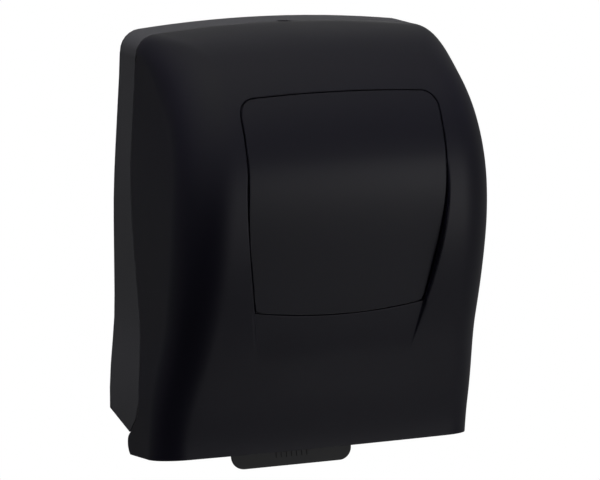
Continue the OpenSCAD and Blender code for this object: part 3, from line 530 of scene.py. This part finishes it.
# The profile ends at the seam, or at the key hole's edge in the middle
def topEndAt(x):
    if abs(x) >= cover["keyHole"]:
        return topStep
    notch = seam["depth"] + math.sqrt(cover["keyHole"] ** 2 - x * x)
    return turningPoint(bulgeStep, topStep, lambda s: curveAt(s)[0].x <= notch)


def rowStep(j, x):
    low = fromTable(lowTable, x, lowEnd)
    high = fromTable(highTable, x, highEnd)
    if j <= lowRow:
        return low * (j / lowRow) ** coverGrid["skirtCrowding"]
    if j <= highRow:
        return mix(low, high, crowd((j - lowRow) / coverGrid["panelRows"], panel["crowding"]))
    return mix(high, topEndAt(x), (j - highRow) / coverGrid["browRows"])


def coverPlace(i, j):
    k = abs(i - halfColumns)
    side = -1 if i < halfColumns else 1
    s = rowStep(j, 0)
    for _ in range(settleRounds):
        x, hollow = columnAt(k, s)
        s = rowStep(j, x)
    x, depth, z = frontPoint(s, x, recessAt(curveAt(s)[0].y) * hollow)
    if k <= cheekColumn:
        square = toCorner(x, z)
        rounded = roundCorner(*square, panel["corner"], panel["coverFade"])
        if rounded != square:
            x, z = fromCorner(*rounded)
            x, depth, z = frontPoint(stepAtHeight(x, z), x)
    if k > edgeColumn:
        share = (k - edgeColumn) / coverGrid["sideColumns"]
        drop = cover["tailDrop"] * (1 - ease(0, cover["rimBlend"], z))
        endZ = z - drop - cover["tilt"] * s / topStep
        end = (halfWidthAt(endZ), seamDepthAt(endZ), endZ)
        x, depth, z = (mix(a, b, share) for a, b in zip((x, depth, z), end))
    return spot(side * x, depth, z)


# At the seam's upper corners the side's columns run together, and the rounded rim needs longer edges
crowded = {"shortest": 0.8, "beyond": 100, "behind": 70, "above": 305}


def mergeCrowded(bm):
    def near(vert):
        x, depth, height = sizesOf(vert.co)
        return abs(x) > crowded["beyond"] and depth < crowded["behind"] and height > crowded["above"]

    least = crowded["shortest"] / perMetre
    short = [e for e in bm.edges if e.calc_length() < least and all(near(vert) for vert in e.verts)]
    bmesh.ops.dissolve_degenerate(bm, dist=least, edges=short)


def inOpening(face):
    x, _, z = sizesOf(face.calc_center_median())
    x = abs(x)
    u, v = toCorner(x, z)
    if min(u, v) > 0 and math.hypot(u, v) > panel["corner"]:
        return False
    return x < creaseAt(z) - coverGrid["creaseMargin"] and panelLowAt(x) < z < panelHighAt(x)


def makeCover():
    bm = bmesh.new()
    gridOf(bm, 2 * halfColumns, topRow, coverPlace)
    bmesh.ops.delete(bm, geom=[face for face in bm.faces if inOpening(face)], context="FACES")
    mergeCrowded(bm)
    faceForward(bm)
    piece = makePiece("cover_shell", bm, "cover_plastic", "cover", "front_cover")
    addThickness(piece, cover["wall"])
    roundEdges(piece, cover["rimRound"])


# A point of the panel, whose outline is grown beyond the opening or, below 0, kept within it
def panelPlace(i, j, grow, below):
    count = panel["halfColumns"]
    side = -1 if i < count else 1
    share = crowd(abs(i - count) / count, panel["crowding"])
    rise = crowd(j / panel["rows"], panel["crowding"])
    height = mix(panelLowAt(0), panelHighAt(0), rise)
    for _ in range(settleRounds):
        x = share * (creaseAt(height) + grow)
        height = mix(panelLowAt(x) - grow, panelHighAt(x) + grow, rise)
    square = toCorner(x, height)
    x, height = fromCorner(*roundCorner(*square, panel["corner"] + grow, panel["panelFade"]))
    edge = creaseAt(panel["low"]) + grow
    foot = panelLowAt(edge) - grow
    r = panel["lowCorner"]
    u, v = roundCorner(x - edge + r, foot + r - height, r, panel["panelFade"])
    x, height = edge - r + u, foot + r - v
    s = stepAtHeight(x, height)
    return spot(*frontPoint(s, side * x, recessAt(curveAt(s)[0].y), below))


def makePanelSheet(name, grow, below, wall, *nodes):
    bm = bmesh.new()
    gridOf(bm, 2 * panel["halfColumns"], panel["rows"], lambda i, j: panelPlace(i, j, grow, below))
    faceForward(bm)
    piece = makePiece(name, bm, "panel_plastic", "cover", *nodes)
    addThickness(piece, wall)
    roundEdges(piece, panel["edgeRound"])


makeCover()
makePanelSheet("panel_face", -panel["gap"], 0, panel["thick"], "front_panel")
makePanelSheet("panel_flange", panel["flangeLap"], panel["flangeDepth"], panel["flangeThick"])
print("cover and panel made")


def bevelEdges(bm, edges, width, segments):
    bmesh.ops.bevel(bm, geom=edges, offset=width / perMetre, offset_type="OFFSET", segments=segments,
                    profile=0.5, affect="EDGES", clamp_overlap=False, material=-1)


# Places of the hinges' axes, as depth and height
hinges = [joint for joint in behaviour["joints"] if joint["type"] == "hinge"]
hingeAt = {hinge["name"]: sizesOf(Vector(hinge["pos_m"]))[1:] for hinge in hinges}

# Springs: coils round an axis along x, each ending in a straight leg
leverCoil = {
    "axis": hingeAt["lever_push"], "radius": 5.1, "wire": 0.8, "pitch": 2.6, "turns": 7, "leg": 18,
    "legAngle": 279, "start": 78.525,
}
pinchCoil = {
    "axis": hingeAt["pinch_swing"], "radius": 4.0, "wire": 0.7, "pitch": 2.2, "turns": 5, "leg": 22.4,
    "legAngle": 222, "start": 85,
}
wireGrid = {"sides": 12, "turnSteps": 28, "legSteps": 6}


# A coil's path of places and outward directions, run towards plus or minus x
def coilPath(coil, start, along):
    path = []
    perTurn = wireGrid["turnSteps"]
    steps = coil["turns"] * perTurn
    for k in range(steps + 1):
        turn = math.radians(coil["legAngle"] - 90) + 2 * math.pi * (k - steps) / perTurn
        out = Vector((0, math.cos(turn), math.sin(turn)))
        centre = Vector((start + along * coil["pitch"] * k / perTurn, *coil["axis"]))
        path.append((centre + coil["radius"] * out, out))
    end, out = path[-1]
    lean = math.radians(coil["legAngle"])
    leg = coil["leg"] * Vector((0, math.cos(lean), math.sin(lean)))
    return path + [(end + leg * k / wireGrid["legSteps"], out) for k in range(1, wireGrid["legSteps"] + 1)]


# Round wire along a path, closed at both ends
def makeWire(bm, path, radius):
    def ringPlace(i, j):
        place, out = path[j]
        way = path[min(j + 1, len(path) - 1)][0] - path[max(j - 1, 0)][0]
        side = way.cross(out).normalized()
        turn = 2 * math.pi * i / wireGrid["sides"]
        return spot(*(place + radius * (math.cos(turn) * out + math.sin(turn) * side)))

    gridOf(bm, wireGrid["sides"], len(path) - 1, ringPlace)
    bmesh.ops.remove_doubles(bm, verts=bm.verts, dist=weld / perMetre)
    bmesh.ops.holes_fill(bm, edges=[e for e in bm.edges if e.is_boundary], sides=0)
    bmesh.ops.recalc_face_normals(bm, faces=bm.faces)


def makeSprings():
    bm = bmesh.new()
    makeWire(bm, coilPath(leverCoil, leverCoil["start"], -1), leverCoil["wire"])
    makePiece("lever_return_coil", bm, "spring_steel", "push_lever", "lever_spring")
    for side, name in ((-1, "pinch_coil_left"), (1, "pinch_coil_right")):
        bm = bmesh.new()
        makeWire(bm, coilPath(pinchCoil, side * pinchCoil["start"], side), pinchCoil["wire"])
        makePiece(name, bm, "spring_steel", "pinch_carrier")
    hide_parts("pinch_springs")


# Plain grip ridges on the middle of the tab's front, placed from the lever's axis
ridges = {
    "count": 7, "pitch": 5, "width": 1.6, "tall": 7, "proud": 0.5, "low": -48, "lean": 9, "front": 1.5,
    "edgeRound": 0.35, "segments": 3,
}


def makeRidges():
    bm = bmesh.new()
    axis = Matrix.Translation(spot(0, *hingeAt["lever_push"]))
    leaning = axis @ Matrix.Rotation(math.radians(-ridges["lean"]), 4, "X")
    shape = Matrix.Diagonal((ridges["width"], 2 * ridges["proud"], ridges["tall"], 1))
    for k in range(ridges["count"]):
        x = (k - (ridges["count"] - 1) / 2) * ridges["pitch"]
        place = Vector((x, -ridges["front"], ridges["low"] + ridges["tall"] / 2)) / perMetre
        made = bmesh.ops.create_cube(bm, size=1 / perMetre)
        turned = leaning @ Matrix.Translation(place) @ shape
        bmesh.ops.transform(bm, verts=made["verts"], matrix=turned)
    bevelEdges(bm, bm.edges, ridges["edgeRound"], ridges["segments"])
    makePiece("tab_grip_ridges", bm, "tab_plastic", "push_lever")


makeSprings()
makeRidges()
print("springs and ridges made")

# Widths of the rounded edges of the solids
dressed = {
    "rear_housing": 0.6, "push_lever": 0.7, "chassis_left": 0.4, "chassis_right": 0.4, "paper_chute": 0.3,
    "slot_front_lip": 0.3, "lock_case": 0.4, "lock_bolt": 0.3, "cover_catch": 0.3, "roll_bracket_left": 0.4,
    "roll_bracket_right": 0.4, "roll_arm_left": 0.5, "roll_arm_right": 0.5, "roll_hub_left": 0.4,
    "roll_hub_right": 0.4, "feed_drum": 0.4, "drum_bands": 0.3, "thumb_wheel": 0.4, "pinch_carrier": 0.3,
    "pinch_roller": 0.4, "tie_bar": 0.4, "pinch_rod": 0.3, "lever_shaft": 0.3, "drum_shaft": 0.4,
    "pinch_axle": 0.3, "drum_bush_left": 0.25, "drum_bush_right": 0.25, "knife_carrier": 0.25,
    "cover_knuckles": 0.05, "cover_hinge_pins": 0.3, "arm_pivot_pins": 0.3, "panel_clips": 0.2,
    "sector_gear": 0.2, "feed_pinion": 0.2, "one_way_clutch": 0.2, "shaft_clip": 0.15, "knife_blade": 0.12,
    "chassis_screws": 0.15, "bracket_screws": 0.15,
}
dressing = {"joinAngle": 0.4, "sharpAngle": 32, "segments": 2}


# A copy of a solid with its flat faces joined and its edges rounded
def dressNode(node, width):
    flat = math.radians(dressing["joinAngle"])
    sharp = math.radians(dressing["sharpAngle"])
    bm = bmesh.new()
    bm.from_mesh(frame["nodes"][node].data)
    bmesh.ops.remove_doubles(bm, verts=bm.verts, dist=weld / perMetre)
    bmesh.ops.dissolve_limit(bm, angle_limit=flat, verts=bm.verts, edges=bm.edges)
    corners = [e for e in bm.edges if e.is_manifold and e.calc_face_angle() > sharp]
    bevelEdges(bm, corners, width, dressing["segments"])
    for edge in bm.edges:
        edge.smooth = not edge.is_manifold or edge.calc_face_angle() < sharp
    piece = makePiece(node + "_dressed", bm, slotOf[node], bodyOf[node], node)
    piece.modifiers.new("shading", "WEIGHTED_NORMAL").keep_sharp = True


for node, width in dressed.items():
    dressNode(node, width)
for node, shown in frame["nodes"].items():
    shown.data.materials.clear()
    shown.data.materials.append(finishes[slotOf[node]])
print("solids dressed,", len(dressed))

# Camera: a long lens on the object's left, a little above it, with the aim at a pixel of the frame
view = {
    "azimuth": -21.3, "elevation": 10.5, "distance": 2.727, "lens": 180, "sensor": 36, "frameWidth": 600,
    "frameHeight": 480, "aim": (0, 0, 374), "aimPixel": (266.5, 18.9),
}


def makeCamera():
    a = math.radians(view["azimuth"])
    e = math.radians(view["elevation"])
    back = Vector((math.sin(a) * math.cos(e), -math.cos(a) * math.cos(e), math.sin(e)))
    right = Vector((math.cos(a), math.sin(a), 0))
    up = back.cross(right)
    scale = view["distance"] * view["sensor"] / view["lens"] / view["frameWidth"]
    across = (view["aimPixel"][0] - view["frameWidth"] / 2) * scale
    above = (view["frameHeight"] / 2 - view["aimPixel"][1]) * scale
    data = bpy.data.cameras.new("camera")
    data.lens = view["lens"]
    data.sensor_width = view["sensor"]
    camera = bpy.data.objects.new("camera", data)
    camera.location = spot(*view["aim"]) + back * view["distance"] - right * across - up * above
    camera.rotation_mode = "QUATERNION"
    camera.rotation_quaternion = Matrix((right, up, back)).transposed().to_quaternion()
    bpy.context.scene.collection.objects.link(camera)
    bpy.context.scene.camera = camera


# Soft lamps, aimed at the middle of the case, with places and sizes in metres
lampTarget = (0, 100, 190)
lamps = {
    "top_soft": {"place": (0.4, 1.6, 1.3), "size": 1.2, "power": 0.5},
    "front_soft": {"place": (1.5, -2.0, -0.2), "size": 1.5, "power": 5.0},
}


def makeLamps():
    for name, look in lamps.items():
        data = bpy.data.lights.new(name, "AREA")
        data.size = look["size"]
        data.energy = look["power"]
        lamp = bpy.data.objects.new(name, data)
        lamp.location = look["place"]
        lamp.rotation_mode = "QUATERNION"
        lamp.rotation_quaternion = (spot(*lampTarget) - Vector(look["place"])).to_track_quat("-Z", "Y")
        lamp.visible_camera = False
        bpy.context.scene.collection.objects.link(lamp)


# The object hangs on a wall, so the floor lies well below it, measured in metres
floor = {
    "place": (0.5, 0.2, -1.5), "radius": 0.72, "segments": 96, "colour": (0.78, 0.78, 0.77), "roughness": 0.9,
}


def makeFloor():
    bm = bmesh.new()
    bmesh.ops.create_circle(bm, cap_ends=True, segments=floor["segments"], radius=floor["radius"])
    bmesh.ops.translate(bm, verts=bm.verts, vec=floor["place"])
    mesh = bpy.data.meshes.new("floor")
    bm.to_mesh(mesh)
    bm.free()
    ground = bpy.data.objects.new("floor", mesh)
    bpy.context.scene.collection.objects.link(ground)
    pale = Finish("pale floor", Base_Color=(*floor["colour"], 1), Roughness=floor["roughness"])
    mesh.materials.append(pale.material)


# White to the camera. Gloss sees a white backdrop behind the object, a pale glow in front and a dim room
# elsewhere, and all else is lit from the zenith. Each patch: its direction, where it starts, where it is full
surround = {
    "backdrop": ((0.357, 0.916, -0.182), 0.9455, 0.9877),
    "glow": ((0.36, -0.93, -0.20), 0.80, 1.0),
    "overhead": ((-0.3, -0.2, 1.0), 0.35, 1.0),
    "zenith": ((-0.05, 0.1, 1.0), 0.75, 1.0),
    "dim": ((-0.80, -0.10, -0.60), 0.80, 0.98),
    "shade": ((-0.60, 0.80, -0.15), 0.40, 0.85),
    "pit": ((-0.48, -0.62, -0.62), 0.71, 0.92),
    "glowLevel": 0.60, "overheadLevel": 0.20, "roomLevel": 0.16, "shadeDepth": 0.5,
    "lightLevel": 0.20, "zenithLight": 8.6,
}


def makeSurround():
    world = bpy.data.worlds.new("studio")
    bpy.context.scene.world = world
    world.use_nodes = True
    world.node_tree.nodes.clear()
    world.cycles.sampling_method = "NONE"
    sky = Shades(world.node_tree)
    toward = sky.add("ShaderNodeTexCoord", output="Generated")

    def share(name):
        way, low, high = surround[name]
        sockets = {0: toward, 1: Vector(way).normalized()}
        lean = sky.add("ShaderNodeVectorMath", {"operation": "DOT_PRODUCT"}, sockets, "Value")
        sockets = {"Value": lean, "From Min": low, "From Max": high}
        return sky.add("ShaderNodeMapRange", {"interpolation_type": "SMOOTHSTEP"}, sockets)

    room = surround["roomLevel"] * (1 - share("dim")) * (1 - share("pit"))
    room *= 1 - surround["shadeDepth"] * share("shade")
    room += surround["glowLevel"] * share("glow") + surround["overheadLevel"] * share("overhead")
    soft = surround["lightLevel"] + surround["zenithLight"] * share("zenith")
    mirrored = room.most(share("backdrop"))
    seen, glossy, through = (
        sky.add("ShaderNodeLightPath", output=kind)
        for kind in ("Is Camera Ray", "Is Glossy Ray", "Is Transmission Ray")
    )
    shiny = glossy.most(through)
    level = seen + (1 - seen) * (shiny * mirrored + (1 - shiny) * soft)
    light = sky.add("ShaderNodeBackground", None, {"Color": (1, 1, 1, 1), "Strength": level})
    sky.add("ShaderNodeOutputWorld", None, {"Surface": light})


makeCamera()
makeLamps()
makeFloor()
makeSurround()
bpy.context.scene.view_settings.view_transform = "Standard"
print("camera and light made")
